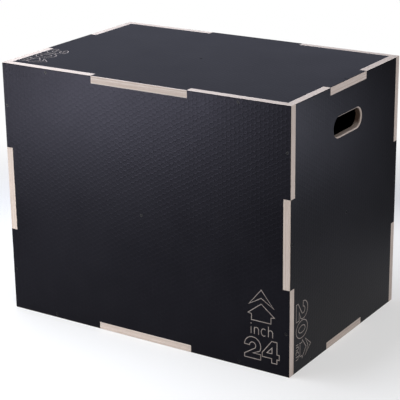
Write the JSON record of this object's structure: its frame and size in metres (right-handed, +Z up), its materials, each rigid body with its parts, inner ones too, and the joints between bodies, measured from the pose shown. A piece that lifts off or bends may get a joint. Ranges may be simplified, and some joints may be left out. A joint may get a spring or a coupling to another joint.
{
  "type": "plyo box",
  "caption": "Plyometric jump box of finger-jointed, black film-faced plywood with a hand slot in each end, countersunk screws and crossed inner braces; it stands on any face.",
  "frame": {"origin": "middle of the base, on the floor", "axes": "+X along the long edge, towards the right end; +Y from the front to the back; +Z up"},
  "size_m": [0.762, 0.508, 0.6096],
  "materials": {
    "plywood": "sanded plywood with bare edges",
    "grip_film": "black embossed anti-slip film",
    "smooth_film": "black smooth film",
    "black_steel": "black phosphated steel"
  },
  "bodies": {
    "root": {"front_panel": "plywood", "front_grip_film": "grip_film", "front_inner_film": "smooth_film", "front_screws": "black_steel", "back_panel": "plywood", "back_grip_film": "grip_film", "back_inner_film": "smooth_film", "back_screws": "black_steel", "left_panel": "plywood", "left_grip_film": "grip_film", "left_inner_film": "smooth_film", "left_screws": "black_steel", "right_panel": "plywood", "right_grip_film": "grip_film", "right_inner_film": "smooth_film", "right_screws": "black_steel", "top_panel": "plywood", "top_grip_film": "grip_film", "top_inner_film": "smooth_film", "top_screws": "black_steel", "bottom_panel": "plywood", "bottom_grip_film": "grip_film", "bottom_inner_film": "smooth_film", "bottom_screws": "black_steel", "mid_brace": "plywood", "cross_brace": "plywood", "mid_brace_upper_film": "smooth_film", "mid_brace_lower_film": "smooth_film", "cross_brace_left_film": "smooth_film", "cross_brace_right_film": "smooth_film"}
  },
  "joints": []
}
